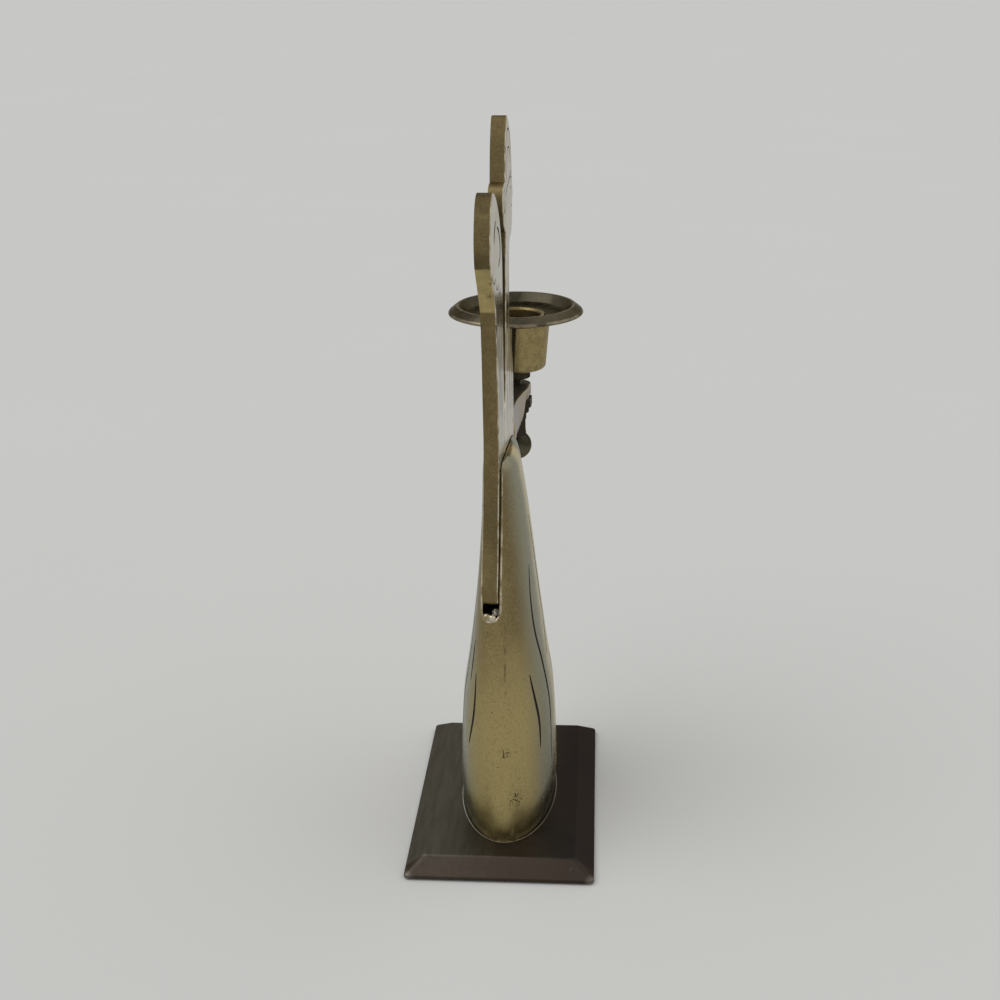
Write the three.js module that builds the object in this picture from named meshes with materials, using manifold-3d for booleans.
// Angel candelabra: a flat brass angel in profile that holds out one candle cup.
// Millimetres, +Z up, origin under the middle of the robe, +Y the way the angel faces.

import * as THREE from "three";
import { mergeVertices } from "three/addons/utils/BufferGeometryUtils.js";
import Module from "manifold-3d";

const wasm = await Module();
wasm.setup();

// Clearances
const FIT = 0.3;
const SCREW_FIT = 0.35;
const BEDDED = 0.05;

// Base and felt
const BASE_WIDTH = 83;
const BASE_LENGTH = 131;
const BASE_OFFSET = -1.2;
const BASE_LIP = 1.2;
const BASE_BEVEL = 8;
const BASE_THICKNESS = 7.2;
const BASE_CORNER = 2;
const FELT_THICKNESS = 1;
const FELT_MARGIN = 1.5;

// Robe
const ROBE_WALL = 2.3;
const ROBE_HEIGHT = 169;
const ROBE_HALF_WIDTH = 22;
const ROBE_HALF_LENGTH = 47.5;
const ROBE_SLOT_DEPTH = 60.8;
const LUG_HEIGHT = 20;
const LUG_WIDTH = 13;
const LUG_SETBACK = 15;

// Base screws
const SCREW_RADIUS = 2.5;
const SCREW_HEAD_RADIUS = 4.5;
const SCREW_HEAD = 1.8;
const SCREW_ENGAGEMENT = 12;
const WASHER_THICKNESS = 0.8;
const WASHER_RADIUS = 5.5;
const SEAT_DEPTH = 4;
const DRIVE_SLOT = 1;
const DRIVE_SLOT_DEPTH = 0.9;

// Plates, which stand a little to one side and are turned a little on the base; what rises above
// the robe is measured from its top
const PLATE_THICKNESS = 6.5;
const PLATE_OFFSET = -2.6;
const PLATE_TURN = 3;
const WING_RISE = 114.2;
const WING_BACK = 44.3;
const WING_WAIST = 28;
const WING_FRONT = 7.5;
const WING_TAIL = 38;
const TAIL_ROUND = 3.2;
const MEET_RISE = 20.8;
const FIGURE_BACK = -3;
const FIGURE_CHEST = 27;
const CHEST_RISE = 26.5;
const HEAD_RISE = 138.2;
const HEAD_FRONT = 32.5;
const BUN_BACK = -2;
const NECK_BACK = 3.5;
const NECK_FRONT = 16;
const TONGUE_DEPTH = 30;
const PIN_RADIUS = 1.5;
const PIN_RECESS = 0.3;

// Arm and hand
const ARM_REACH = 68;
const ARM_ROOT_GAP = 0.8;
const ARM_TENON_RADIUS = 1.7;
const ARM_TENON_LENGTH = 9;
const ARM_PIN_RADIUS = 0.9;
const ARM_EDGE = 1;
const HAND_RISE = 10.1;
const HAND_THICKNESS = 6;
const HAND_RADIUS = 6.9;
const SLEEVE_DROP = 17.9;

// Candle cup, pan and their hardware
const ROD_RADIUS = 2.5;
const ROD_PROUD = 1.2;
const CONE_RADIUS = 6.6;
const CONE_HEIGHT = 5.7;
const CONE_RIM = 4.5;
const THREAD_GAP = 1.8;
const CUP_HEIGHT = 25.7;
const CUP_FLOOR = 2.6;
const CUP_FOOT_RADIUS = 14;
const CUP_FOOT_ROUND = 1.6;
const CUP_SHOULDER_RADIUS = 16;
const CUP_NECK_RADIUS = 13.5;
const CUP_NECK = 2.2;
const SOCKET_RADIUS = 11.6;
const PAN_RADIUS = 31.6;
const PAN_RIDGE_RADIUS = 27;
const PAN_RIDGE_HEIGHT = 6.2;
const PAN_EDGE_HEIGHT = 2.7;
const PAN_THICKNESS = 1.5;
const CUP_NUT_RADIUS = 5.2;
const CUP_NUT = 3.6;
const LOCK_NUT_RADIUS = 8.1;
const LOCK_NUT = 5.9;
const RING_RADIUS = 5.9;
const RING_THICKNESS = 2;
const FINIAL_NECK_RADIUS = 4.6;
const FINIAL_NECK = 11;
const BALL_RADIUS = 7;
const ROD_IN_FINIAL = 8;

const SIDES = 40;

// Heights that follow from the sizes above
const baseTop = FELT_THICKNESS + BASE_THICKNESS;
const robeTop = baseTop + ROBE_HEIGHT;
const slotBottom = robeTop - ROBE_SLOT_DEPTH;
const wingTop = robeTop + WING_RISE;
const wingMeet = robeTop + MEET_RISE;
const chestTop = robeTop + CHEST_RISE;
const headTop = robeTop + HEAD_RISE;
const handTop = robeTop + HAND_RISE;
const handBottom = handTop - HAND_THICKNESS;
const coneBottom = handTop + THREAD_GAP;
const cupBottom = coneBottom + CONE_HEIGHT + FIT;
const cupTop = cupBottom + CUP_HEIGHT;
const shoulder = cupTop - CUP_NECK;
const panBottom = shoulder + FIT;
const lockNutTop = handBottom - FIT;
const ringTop = lockNutTop - LOCK_NUT - FIT;
const finialTop = ringTop - RING_THICKNESS - FIT;
const ballCentre = finialTop - FINIAL_NECK - Math.sqrt(BALL_RADIUS ** 2 - FINIAL_NECK_RADIUS ** 2);
const rodBottom = finialTop - ROD_IN_FINIAL;
const rodTop = cupBottom + CUP_FLOOR + FIT + CUP_NUT + ROD_PROUD;
const armRootBottom = robeTop + ARM_ROOT_GAP;
const armRootMiddle = (armRootBottom + handTop) / 2;
const armPinY = FIGURE_CHEST - ARM_TENON_LENGTH / 2;
const turn = THREE.MathUtils.degToRad(PLATE_TURN);

// Geometry helpers

function solidOf(geometry) {
  const bare = geometry.clone();
  bare.deleteAttribute("normal");
  bare.deleteAttribute("uv");
  const merged = mergeVertices(bare, 1e-4);
  const mesh = new wasm.Mesh({
    numProp: 3,
    vertProperties: new Float32Array(merged.attributes.position.array),
    triVerts: new Uint32Array(merged.index.array),
  });
  return new wasm.Manifold(mesh);
}

function geometryOf(solid) {
  const mesh = solid.getMesh();
  const geometry = new THREE.BufferGeometry();
  geometry.setAttribute("position", new THREE.BufferAttribute(new Float32Array(mesh.vertProperties), 3));
  geometry.setIndex(new THREE.BufferAttribute(new Uint32Array(mesh.triVerts), 1));
  return geometry;
}

function cut(geometry, ...tools) {
  let solid = solidOf(geometry);
  for (const tool of tools) {
    solid = solid.subtract(solidOf(tool));
  }
  return geometryOf(solid);
}

function join(geometry, ...others) {
  let solid = solidOf(geometry);
  for (const other of others) {
    solid = solid.add(solidOf(other));
  }
  return geometryOf(solid);
}

// Closed skin over rings of points, each ring with the same count, first and last ring capped
function loft(rings) {
  const count = rings[0].length;
  const positions = rings.flat().flatMap((p) => [p.x, p.y, p.z]);
  const faces = [];
  for (let i = 0; i + 1 < rings.length; i++) {
    for (let k = 0; k < count; k++) {
      const a = i * count + k;
      const b = i * count + ((k + 1) % count);
      faces.push(a, b, b + count, a, b + count, a + count);
    }
  }
  const last = (rings.length - 1) * count;
  for (let k = 1; k + 1 < count; k++) {
    faces.push(0, k + 1, k);
    faces.push(last, last + k, last + k + 1);
  }
  const geometry = new THREE.BufferGeometry();
  geometry.setAttribute("position", new THREE.BufferAttribute(new Float32Array(positions), 3));
  geometry.setIndex(faces);
  return geometry;
}

function lathe(points, sides = SIDES) {
  const profile = points.map(([r, z]) => new THREE.Vector2(r, z));
  return new THREE.LatheGeometry(profile, sides).rotateX(Math.PI / 2);
}

function upright(radius, bottom, top, sides = 24) {
  const cylinder = new THREE.CylinderGeometry(radius, radius, top - bottom, sides);
  return cylinder.rotateX(Math.PI / 2).translate(0, 0, (top + bottom) / 2);
}

function box(x0, x1, y0, y1, z0, z1) {
  const geometry = new THREE.BoxGeometry(x1 - x0, y1 - y0, z1 - z0);
  return geometry.translate((x0 + x1) / 2, (y0 + y1) / 2, (z0 + z1) / 2);
}

// Plate of the given thickness from an outline drawn in y and z, centred on x = 0
function plate(shape, thickness, segments = 10) {
  const geometry = new THREE.ExtrudeGeometry(shape, {
    depth: thickness, bevelEnabled: false, curveSegments: segments,
  });
  const toPlate = new THREE.Matrix4().set(0, 0, 1, -thickness / 2, 1, 0, 0, 0, 0, 1, 0, 0, 0, 0, 0, 1);
  return geometry.applyMatrix4(toPlate);
}

// Smooth value along a few stations, each one a height and a value
function along(stations, z) {
  let i = 0;
  while (i < stations.length - 2 && z > stations[i + 1][0]) {
    i++;
  }
  const at = (k) => stations[Math.min(Math.max(k, 0), stations.length - 1)];
  const slope = (k) => (at(k + 1)[1] - at(k - 1)[1]) / (at(k + 1)[0] - at(k - 1)[0]);
  const [z0, v0] = at(i);
  const [z1, v1] = at(i + 1);
  const t = THREE.MathUtils.clamp((z - z0) / (z1 - z0), 0, 1);
  const span = z1 - z0;
  const rise = (2 * t ** 3 - 3 * t ** 2 + 1) * v0 + (-2 * t ** 3 + 3 * t ** 2) * v1;
  return rise + span * ((t ** 3 - 2 * t ** 2 + t) * slope(i) + (t ** 3 - t ** 2) * slope(i + 1));
}

// Base and felt

function roundedRectangle(width, length, corner, z) {
  const ring = [];
  const corners = [[1, 1, 0], [-1, 1, 90], [-1, -1, 180], [1, -1, 270]];
  for (const [sx, sy, start] of corners) {
    for (const step of [0, 30, 60, 90]) {
      const angle = THREE.MathUtils.degToRad(start + step);
      const x = BASE_OFFSET + sx * (width / 2 - corner) + corner * Math.cos(angle);
      const y = sy * (length / 2 - corner) + corner * Math.sin(angle);
      ring.push(new THREE.Vector3(x, y, z));
    }
  }
  return ring;
}

const screwPlaces = [
  { name: "front", y: ROBE_HALF_LENGTH - LUG_SETBACK },
  { name: "rear", y: LUG_SETBACK - ROBE_HALF_LENGTH },
];
const seatTop = FELT_THICKNESS + SEAT_DEPTH;

function makeBase() {
  const lipTop = FELT_THICKNESS + BASE_LIP;
  const topWidth = BASE_WIDTH - 2 * BASE_BEVEL;
  const topLength = BASE_LENGTH - 2 * BASE_BEVEL;
  const block = loft([
    roundedRectangle(BASE_WIDTH, BASE_LENGTH, BASE_CORNER, FELT_THICKNESS),
    roundedRectangle(BASE_WIDTH, BASE_LENGTH, BASE_CORNER, lipTop),
    roundedRectangle(topWidth, topLength, BASE_CORNER, baseTop),
  ]);
  const tools = screwPlaces.flatMap(({ y }) => [
    upright(SCREW_RADIUS + SCREW_FIT, FELT_THICKNESS - 1, baseTop + 1).translate(0, y, 0),
    upright(WASHER_RADIUS + SCREW_FIT, FELT_THICKNESS - 1, seatTop).translate(0, y, 0),
  ]);
  return cut(block, ...tools);
}

function makeFelt() {
  const width = BASE_WIDTH - 2 * FELT_MARGIN;
  const length = BASE_LENGTH - 2 * FELT_MARGIN;
  return loft([
    roundedRectangle(width, length, BASE_CORNER, 0),
    roundedRectangle(width, length, BASE_CORNER, FELT_THICKNESS),
  ]);
}

function makeBaseWasher() {
  const top = seatTop - BEDDED;
  const bottom = top - WASHER_THICKNESS;
  const bore = SCREW_RADIUS + SCREW_FIT;
  return lathe([[bore, bottom], [WASHER_RADIUS, bottom], [WASHER_RADIUS, top], [bore, top], [bore, bottom]]);
}

function makeBaseScrew() {
  const headTop = seatTop - WASHER_THICKNESS - 2 * BEDDED;
  const headBottom = headTop - SCREW_HEAD;
  const tip = baseTop + SCREW_ENGAGEMENT;
  const screw = lathe([
    [0, headBottom], [SCREW_HEAD_RADIUS - 0.4, headBottom], [SCREW_HEAD_RADIUS, headBottom + 0.4],
    [SCREW_HEAD_RADIUS, headTop], [SCREW_RADIUS, headTop], [SCREW_RADIUS, tip - 1],
    [SCREW_RADIUS - 1, tip], [0, tip],
  ], 24);
  const across = 2 * SCREW_HEAD_RADIUS;
  const half = DRIVE_SLOT / 2;
  const slot = box(-half, half, -across, across, headBottom - 1, headBottom + DRIVE_SLOT_DEPTH);
  return cut(screw, slot);
}

// Robe: elliptical rings whose crests lean over into the plane of the plates

// Each station gives a share of the robe's height, and a share of its half width, half length or offset
const robeWidths = [
  [0, 0.94], [0.04, 0.985], [0.11, 1], [0.32, 0.93], [0.44, 0.8], [0.53, 0.705],
  [0.665, 0.58], [0.845, 0.445], [0.945, 0.375], [0.97, 0.352], [0.99, 0.285], [1, 0.19],
];
const robeBacks = [
  [0, 0.97], [0.04, 0.995], [0.12, 1], [0.32, 0.955], [0.655, 0.8], [0.845, 0.64], [1, 0.55],
];
const robeFronts = [
  [0, 0.97], [0.04, 0.995], [0.12, 1], [0.32, 0.95], [0.655, 0.82], [0.845, 0.72], [1, 0.64],
];
const robeLean = [[0, 0], [0.32, 0.5], [0.655, 1], [1, 1]];
const robeShift = [[0, 0], [0.655, -0.15], [0.845, 0.1], [1, 0.8]];

function robePoint(angle, z, inset) {
  const level = (z - baseTop) / ROBE_HEIGHT;
  const halfWidth = ROBE_HALF_WIDTH * along(robeWidths, level) - inset;
  const halfLength = ROBE_HALF_LENGTH * along(Math.sin(angle) < 0 ? robeBacks : robeFronts, level) - inset;
  const shift = PLATE_OFFSET * along(robeShift, level);
  const y = halfLength * Math.sin(angle);
  const crest = along(robeLean, level) * (PLATE_OFFSET + Math.tan(turn) * y);
  const x = shift + halfWidth * Math.cos(angle) + (crest - shift) * Math.sin(angle) ** 2;
  return new THREE.Vector3(x, y, z);
}

function robeRing(z, inset, sides) {
  return Array.from({ length: sides }, (_, k) => robePoint((2 * Math.PI * k) / sides, z, inset));
}

function robeSkin(heights, inset, sides) {
  return loft(heights.map((z) => robeRing(z, inset, sides)));
}

// Even steps from one value to another, both included
function spread(from, to, steps) {
  return Array.from({ length: steps + 1 }, (_, i) => from + ((to - from) * i) / steps);
}

// Places a tool that is drawn in the plates' own frame
function inPlateFrame(geometry) {
  return geometry.rotateZ(-turn).translate(PLATE_OFFSET, 0, 0);
}

const tongueBottom = robeTop - TONGUE_DEPTH;
const slotHalf = PLATE_THICKNESS / 2 + FIT;
const slotReach = ROBE_HALF_LENGTH + ROBE_WALL;
const pinHeight = robeTop - TONGUE_DEPTH / 2;
const pinDrill = 2 * (ROBE_HALF_WIDTH + ROBE_WALL);
const wingPinY = -(WING_FRONT + WING_WAIST) / 2;
const figurePinY = (FIGURE_BACK + FIGURE_CHEST) / 2;

// Length of a pin that ends just under the robe's skin on both sides
function pinLength(y) {
  const level = (pinHeight - baseTop) / ROBE_HEIGHT;
  const halfLength = ROBE_HALF_LENGTH * along(y < 0 ? robeBacks : robeFronts, level);
  const angle = Math.asin(y / halfLength);
  const plane = PLATE_OFFSET + Math.tan(turn) * y;
  const right = robePoint(angle, pinHeight, 0).x - plane;
  const left = plane - robePoint(Math.PI - angle, pinHeight, 0).x;
  return 2 * (Math.min(right, left) - PIN_RECESS);
}

function pinHole(y, z, radius, length) {
  const cylinder = new THREE.CylinderGeometry(radius, radius, length, 20);
  return cylinder.rotateZ(Math.PI / 2).translate(0, y, z);
}

function makeRobe() {
  const levels = [...spread(0, 0.06, 3), ...spread(0.1, 0.93, 20), ...spread(0.95, 1, 6)];
  const skin = robeSkin(levels.map((level) => baseTop + level * ROBE_HEIGHT), 0, 52);
  const cavity = robeSkin(spread(baseTop - 1, robeTop + 1, 14), ROBE_WALL, 40);
  const lugs = screwPlaces.map(({ y }) => {
    const inner = Math.abs(y) - LUG_WIDTH / 2;
    const outer = ROBE_HALF_LENGTH;
    const [y0, y1] = y > 0 ? [inner, outer] : [-outer, -inner];
    return box(-LUG_WIDTH / 2, LUG_WIDTH / 2, y0, y1, baseTop, baseTop + LUG_HEIGHT);
  });
  const envelope = solidOf(robeSkin(spread(baseTop, baseTop + 2 * LUG_HEIGHT, 6), ROBE_WALL / 2, 40));
  let robe = solidOf(skin).subtract(solidOf(cavity));
  for (const lug of lugs) {
    robe = robe.add(solidOf(lug).intersect(envelope));
  }
  const backSlot = box(-slotHalf, slotHalf, -slotReach, 0, slotBottom, robeTop + 1);
  const frontSlot = box(-slotHalf, slotHalf, -slotHalf, FIGURE_CHEST + FIT, tongueBottom - FIT, robeTop + 1);
  const slotEnd = new THREE.CylinderGeometry(slotHalf, slotHalf, slotReach, 24);
  const tools = [
    backSlot,
    frontSlot,
    slotEnd.translate(0, -slotReach / 2, slotBottom),
    pinHole(wingPinY, pinHeight, PIN_RADIUS + FIT, pinDrill),
    pinHole(figurePinY, pinHeight, PIN_RADIUS + FIT, pinDrill),
  ];
  for (const tool of tools) {
    robe = robe.subtract(solidOf(inPlateFrame(tool)));
  }
  for (const { y } of screwPlaces) {
    const bore = upright(SCREW_RADIUS + SCREW_FIT, baseTop - 1, baseTop + SCREW_ENGAGEMENT + 1);
    robe = robe.subtract(solidOf(bore.translate(0, y, 0)));
  }
  return geometryOf(robe);
}

// Plates, drawn in y and z

function makeWing() {
  const shape = new THREE.Shape();
  const tipZ = wingTop - 1;
  const tailY = -WING_TAIL + TAIL_ROUND - 0.6;
  const tailZ = slotBottom + 3 + TAIL_ROUND;
  const flareZ = wingTop - 28;
  const waistZ = wingTop - 47;
  shape.moveTo(-WING_FRONT, slotBottom + 28);
  shape.lineTo(-WING_FRONT, flareZ - 8);
  shape.bezierCurveTo(-WING_FRONT + 0.5, flareZ + 10, -WING_BACK + 24, tipZ - 1, -WING_BACK + 11, tipZ + 1);
  shape.bezierCurveTo(-WING_BACK + 5, tipZ + 0.6, -WING_BACK + 0.6, flareZ + 18, -WING_BACK, flareZ + 9);
  shape.quadraticCurveTo(-WING_BACK + 0.1, flareZ + 3, -WING_BACK + 1.3, flareZ);
  shape.lineTo(-WING_WAIST - 2, waistZ);
  shape.lineTo(-WING_WAIST, waistZ - 18);
  shape.lineTo(-WING_WAIST + 1, robeTop + 12);
  shape.quadraticCurveTo(-WING_WAIST - 2, slotBottom + 43, -WING_TAIL - 0.5, slotBottom + 10);
  shape.absarc(tailY, tailZ, TAIL_ROUND, Math.PI, 1.5 * Math.PI, false);
  shape.closePath();
  return cut(plate(shape, PLATE_THICKNESS), pinHole(wingPinY, pinHeight, PIN_RADIUS + FIT, 20));
}

function makeFigure() {
  const shape = new THREE.Shape();
  const headBase = headTop - 48;
  const bunTop = headBase + 22.4;
  const neckBase = chestTop + 33;
  const waistBack = FIT - WING_FRONT;
  shape.moveTo(waistBack, tongueBottom);
  shape.lineTo(FIGURE_CHEST - 1, tongueBottom);
  shape.lineTo(FIGURE_CHEST - 1, robeTop - 1);
  shape.lineTo(FIGURE_CHEST, robeTop);
  shape.lineTo(FIGURE_CHEST, chestTop);
  shape.bezierCurveTo(FIGURE_CHEST - 1, neckBase - 20, NECK_FRONT + 1, neckBase - 16, NECK_FRONT, neckBase);
  shape.quadraticCurveTo(NECK_FRONT - 0.5, headBase - 8, NECK_FRONT + 4, headBase - 3);
  shape.quadraticCurveTo(HEAD_FRONT - 7, headBase - 3, HEAD_FRONT - 4, headBase + 2);
  shape.quadraticCurveTo(HEAD_FRONT - 2.2, headBase + 5, HEAD_FRONT - 3.4, headBase + 8);
  shape.quadraticCurveTo(HEAD_FRONT - 1.6, headBase + 9.5, HEAD_FRONT - 2.4, headBase + 12);
  shape.lineTo(HEAD_FRONT, headBase + 14.5);
  shape.quadraticCurveTo(HEAD_FRONT - 1.2, headBase + 19, HEAD_FRONT - 3.2, headBase + 23);
  shape.bezierCurveTo(HEAD_FRONT - 2.4, headBase + 32, HEAD_FRONT - 8, headTop - 3, HEAD_FRONT - 17, headTop);
  shape.bezierCurveTo(BUN_BACK + 14, headTop - 0.5, BUN_BACK + 9, bunTop + 12, BUN_BACK + 8, bunTop);
  shape.quadraticCurveTo(BUN_BACK + 3, bunTop, BUN_BACK + 1, bunTop - 4);
  shape.quadraticCurveTo(BUN_BACK - 1, bunTop - 8.5, BUN_BACK + 1.5, bunTop - 13.5);
  shape.quadraticCurveTo(BUN_BACK + 4, bunTop - 18, NECK_BACK + 2.2, bunTop - 20.5);
  shape.bezierCurveTo(NECK_BACK + 1, headBase - 15, NECK_BACK, chestTop + 23, FIGURE_BACK, wingMeet + 2);
  shape.quadraticCurveTo(FIGURE_BACK - 0.6, wingMeet, waistBack, wingMeet - 1);
  shape.closePath();
  const socket = new THREE.CylinderGeometry(
    ARM_TENON_RADIUS + FIT, ARM_TENON_RADIUS + FIT, 2 * (ARM_TENON_LENGTH + FIT), 20,
  );
  return cut(
    plate(shape, PLATE_THICKNESS),
    socket.translate(0, FIGURE_CHEST, armRootMiddle),
    pinHole(figurePinY, pinHeight, PIN_RADIUS + FIT, 20),
    pinHole(armPinY, armRootMiddle, ARM_PIN_RADIUS + FIT, 20),
  );
}

function makePin(radius, length) {
  return new THREE.CylinderGeometry(radius, radius, length, 20).rotateZ(Math.PI / 2);
}

// Arm: level along its top, with a hanging sleeve, widening to the hand, a round eye for the rod

function makeArm() {
  const root = FIGURE_CHEST + FIT;
  const wrist = ARM_REACH - HAND_RADIUS;
  const tip = handTop - SLEEVE_DROP;
  const sleeveBottom = [
    [0, armRootBottom], [0.09, armRootBottom - 0.3], [0.16, tip], [0.29, tip + 1.4], [0.46, tip + 2.4],
    [0.6, tip + 3.8], [0.73, tip + 5.3], [0.79, handBottom - 4.3], [0.84, handBottom - 1], [0.9, handBottom],
    [1, handBottom],
  ];
  const sleeveHalf = [
    [0, PLATE_THICKNESS / 2], [0.4, PLATE_THICKNESS / 2 + 0.6],
    [0.7, HAND_RADIUS - 1.9], [1, HAND_RADIUS - 0.4],
  ];
  const rings = [];
  const steps = 36;
  for (let i = 0; i <= steps; i++) {
    const t = i / steps;
    const y = root + (ARM_REACH - root) * t;
    const reach = Math.min((y - root) / (wrist - root), 1);
    const bottom = along(sleeveBottom, reach);
    const half = along(sleeveHalf, reach);
    const inner = half - ARM_EDGE;
    rings.push([
      new THREE.Vector3(half, y, bottom + ARM_EDGE), new THREE.Vector3(inner, y, bottom),
      new THREE.Vector3(-inner, y, bottom), new THREE.Vector3(-half, y, bottom + ARM_EDGE),
      new THREE.Vector3(-half, y, handTop - ARM_EDGE), new THREE.Vector3(-inner, y, handTop),
      new THREE.Vector3(inner, y, handTop), new THREE.Vector3(half, y, handTop - ARM_EDGE),
    ]);
  }
  const tenon = new THREE.CylinderGeometry(ARM_TENON_RADIUS, ARM_TENON_RADIUS, ARM_TENON_LENGTH + 1, 20);
  const eye = lathe([
    [0, handBottom], [HAND_RADIUS - 0.6, handBottom], [HAND_RADIUS, handBottom + 0.6],
    [HAND_RADIUS, handTop - 0.6], [HAND_RADIUS - 0.6, handTop], [0, handTop],
  ]);
  const arm = join(
    loft(rings),
    tenon.translate(0, root + 1 - (ARM_TENON_LENGTH + 1) / 2, armRootMiddle),
    eye.translate(0, ARM_REACH, 0),
  );
  return cut(
    arm,
    upright(ROD_RADIUS + FIT, handBottom - 1, handTop + 1).translate(0, ARM_REACH, 0),
    pinHole(armPinY, armRootMiddle, ARM_PIN_RADIUS + FIT, 20),
  );
}

// Candle cup, drip pan and the hardware on the rod, each drawn on the cup's own axis

function makeRod() {
  return lathe([
    [0, rodBottom], [ROD_RADIUS - 0.5, rodBottom], [ROD_RADIUS, rodBottom + 0.5],
    [ROD_RADIUS, rodTop - 0.5], [ROD_RADIUS - 0.5, rodTop], [0, rodTop],
  ], 24);
}

function makeCone() {
  const top = coneBottom + CONE_HEIGHT;
  const bore = ROD_RADIUS + FIT;
  return lathe([
    [bore, coneBottom], [bore + 0.5, coneBottom], [CONE_RADIUS, top - CONE_RIM],
    [CONE_RADIUS, top], [bore, top], [bore, coneBottom],
  ], 32);
}

function makeCup() {
  const bore = ROD_RADIUS + FIT;
  const foot = [0, 30, 60, 90].map((degrees) => {
    const angle = THREE.MathUtils.degToRad(degrees);
    const r = CUP_FOOT_RADIUS - CUP_FOOT_ROUND * (1 - Math.sin(angle));
    return [r, cupBottom + CUP_FOOT_ROUND * (1 - Math.cos(angle))];
  });
  const floor = cupBottom + CUP_FLOOR;
  return lathe([
    [bore, cupBottom], ...foot, [CUP_SHOULDER_RADIUS, shoulder], [CUP_NECK_RADIUS, shoulder],
    [CUP_NECK_RADIUS, cupTop - 0.5], [CUP_NECK_RADIUS - 0.5, cupTop],
    [SOCKET_RADIUS + 0.6, cupTop], [SOCKET_RADIUS, cupTop - 1], [SOCKET_RADIUS - 0.8, floor + 1],
    [SOCKET_RADIUS - 1.8, floor], [bore, floor], [bore, cupBottom],
  ], 40);
}

function makePan() {
  const bore = CUP_NECK_RADIUS + FIT;
  const under = panBottom;
  const edge = under + PAN_EDGE_HEIGHT;
  const ridge = under + PAN_RIDGE_HEIGHT;
  return lathe([
    [bore, under], [PAN_RIDGE_RADIUS - 4, under], [PAN_RIDGE_RADIUS, under + 1.4],
    [PAN_RADIUS - 0.4, edge - 0.5], [PAN_RADIUS, edge], [PAN_RADIUS - 0.5, edge + 0.9],
    [PAN_RIDGE_RADIUS + 0.8, ridge], [PAN_RIDGE_RADIUS - 0.6, ridge],
    [PAN_RIDGE_RADIUS - 3.4, under + PAN_THICKNESS + 0.8], [PAN_RIDGE_RADIUS - 6, under + PAN_THICKNESS],
    [bore, under + PAN_THICKNESS], [bore, under],
  ], 56);
}

// Hexagonal nut with its corners turned off at 30 degrees at both faces
function makeNut(radius, height, bottom) {
  const face = 0.75 * radius;
  const rise = (radius - face) * Math.tan(Math.PI / 6);
  const turned = lathe([
    [0, bottom], [face, bottom], [radius, bottom + rise],
    [radius, bottom + height - rise], [face, bottom + height], [0, bottom + height],
  ], 48);
  const prism = upright(radius, bottom, bottom + height, 6).rotateZ(Math.PI / 6);
  const bore = upright(ROD_RADIUS + FIT, bottom - 1, bottom + height + 1);
  return geometryOf(solidOf(turned).intersect(solidOf(prism)).subtract(solidOf(bore)));
}

function makeRing() {
  const bore = ROD_RADIUS + FIT;
  const bottom = ringTop - RING_THICKNESS;
  return lathe([
    [bore, bottom], [RING_RADIUS - 0.5, bottom], [RING_RADIUS, bottom + 0.5], [RING_RADIUS, ringTop - 0.5],
    [RING_RADIUS - 0.5, ringTop], [bore, ringTop], [bore, bottom],
  ], 32);
}

function makeFinial() {
  const bore = ROD_RADIUS + FIT;
  const bottom = rodBottom - 1;
  const points = [];
  const meet = Math.asin(FINIAL_NECK_RADIUS / BALL_RADIUS);
  const steps = 12;
  for (let i = 0; i <= steps; i++) {
    const angle = (Math.PI - meet) * (i / steps);
    points.push([BALL_RADIUS * Math.sin(angle), ballCentre - BALL_RADIUS * Math.cos(angle)]);
  }
  points[0][0] = 0;
  return lathe([
    ...points, [FINIAL_NECK_RADIUS - 0.4, finialTop - FINIAL_NECK / 2], [FINIAL_NECK_RADIUS, finialTop - 2],
    [FINIAL_NECK_RADIUS, finialTop], [bore, finialTop], [bore, bottom], [0, bottom],
  ], 28);
}

// Materials

function finish(color, roughness, metalness) {
  return new THREE.MeshStandardMaterial({ color, roughness, metalness });
}

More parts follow.
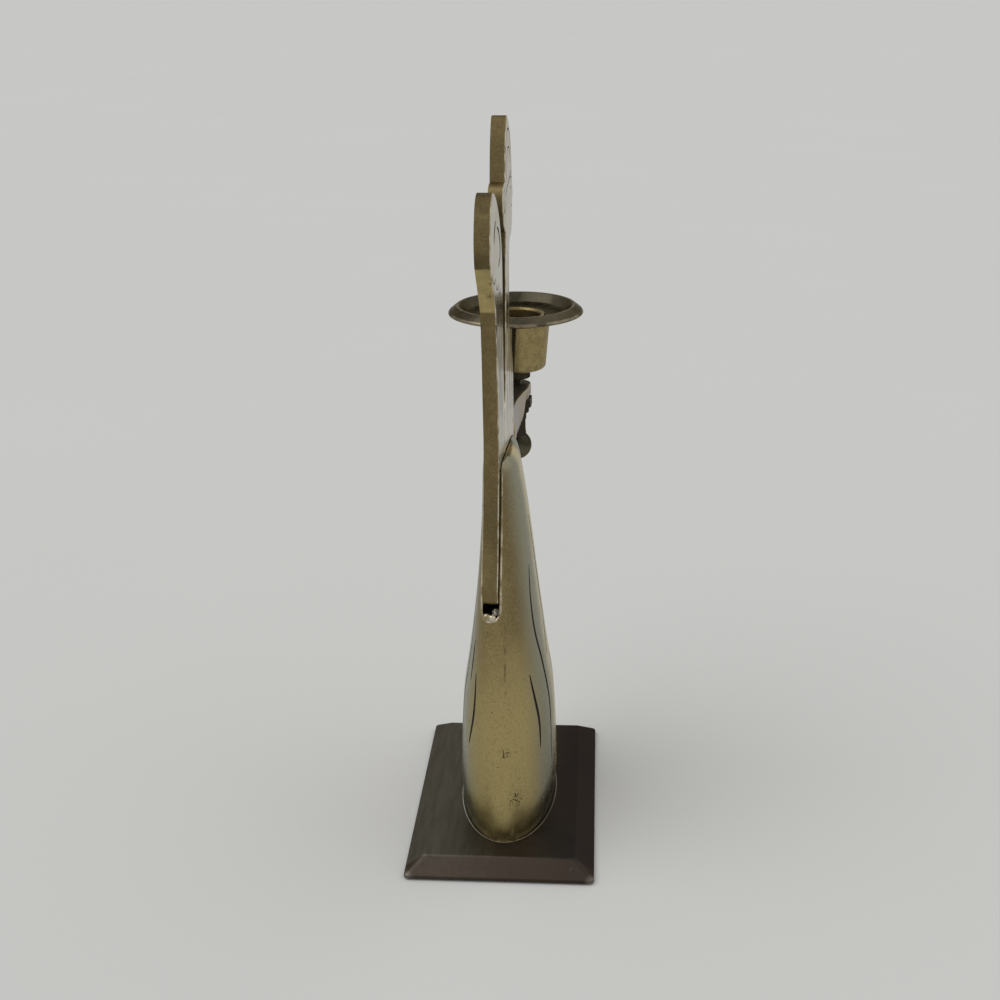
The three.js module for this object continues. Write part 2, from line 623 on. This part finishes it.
const darkBronze = () => finish(0x3e3832, 0.5, 0.8);
const agedBrass = () => finish(0x8c7d50, 0.38, 0.95);
const polishedBrass = () => finish(0xb9a878, 0.22, 1);
const steel = () => finish(0x8a8a88, 0.4, 1);
const felt = () => finish(0x24382a, 0.95, 0);

// Assembly

const angel = new THREE.Group();

function place(parent, name, geometry, material) {
  const mesh = new THREE.Mesh(geometry, material);
  mesh.name = name;
  parent.add(mesh);
  return mesh;
}

place(angel, "base_felt", makeFelt(), felt());
place(angel, "base_plate", makeBase(), darkBronze());
place(angel, "robe_shell", makeRobe(), agedBrass());
for (const { name, y } of screwPlaces) {
  place(angel, `base_washer_${name}`, makeBaseWasher(), steel()).position.y = y;
  place(angel, `base_screw_${name}`, makeBaseScrew(), steel()).position.y = y;
}

const plates = new THREE.Group();
plates.position.x = PLATE_OFFSET;
plates.rotation.z = -turn;
angel.add(plates);
place(plates, "wing_plate", makeWing(), agedBrass());
place(plates, "figure_plate", makeFigure(), agedBrass());
place(plates, "wing_pin", makePin(PIN_RADIUS, pinLength(wingPinY)), polishedBrass())
  .position.set(0, wingPinY, pinHeight);
place(plates, "figure_pin", makePin(PIN_RADIUS, pinLength(figurePinY)), polishedBrass())
  .position.set(0, figurePinY, pinHeight);
place(plates, "arm", makeArm(), polishedBrass());
place(plates, "arm_pin", makePin(ARM_PIN_RADIUS, PLATE_THICKNESS), polishedBrass())
  .position.set(0, armPinY, armRootMiddle);

const holder = new THREE.Group();
holder.position.y = ARM_REACH;
plates.add(holder);
place(holder, "cup_rod", makeRod(), steel());
place(holder, "cone_washer", makeCone(), darkBronze());
place(holder, "candle_cup", makeCup(), agedBrass());
place(holder, "cup_nut", makeNut(CUP_NUT_RADIUS, CUP_NUT, cupBottom + CUP_FLOOR + FIT), agedBrass());
place(holder, "drip_pan", makePan(), darkBronze());
place(holder, "lock_nut", makeNut(LOCK_NUT_RADIUS, LOCK_NUT, lockNutTop - LOCK_NUT), darkBronze());
place(holder, "finial_ring", makeRing(), darkBronze());
place(holder, "drop_finial", makeFinial(), darkBronze());

export default angel;
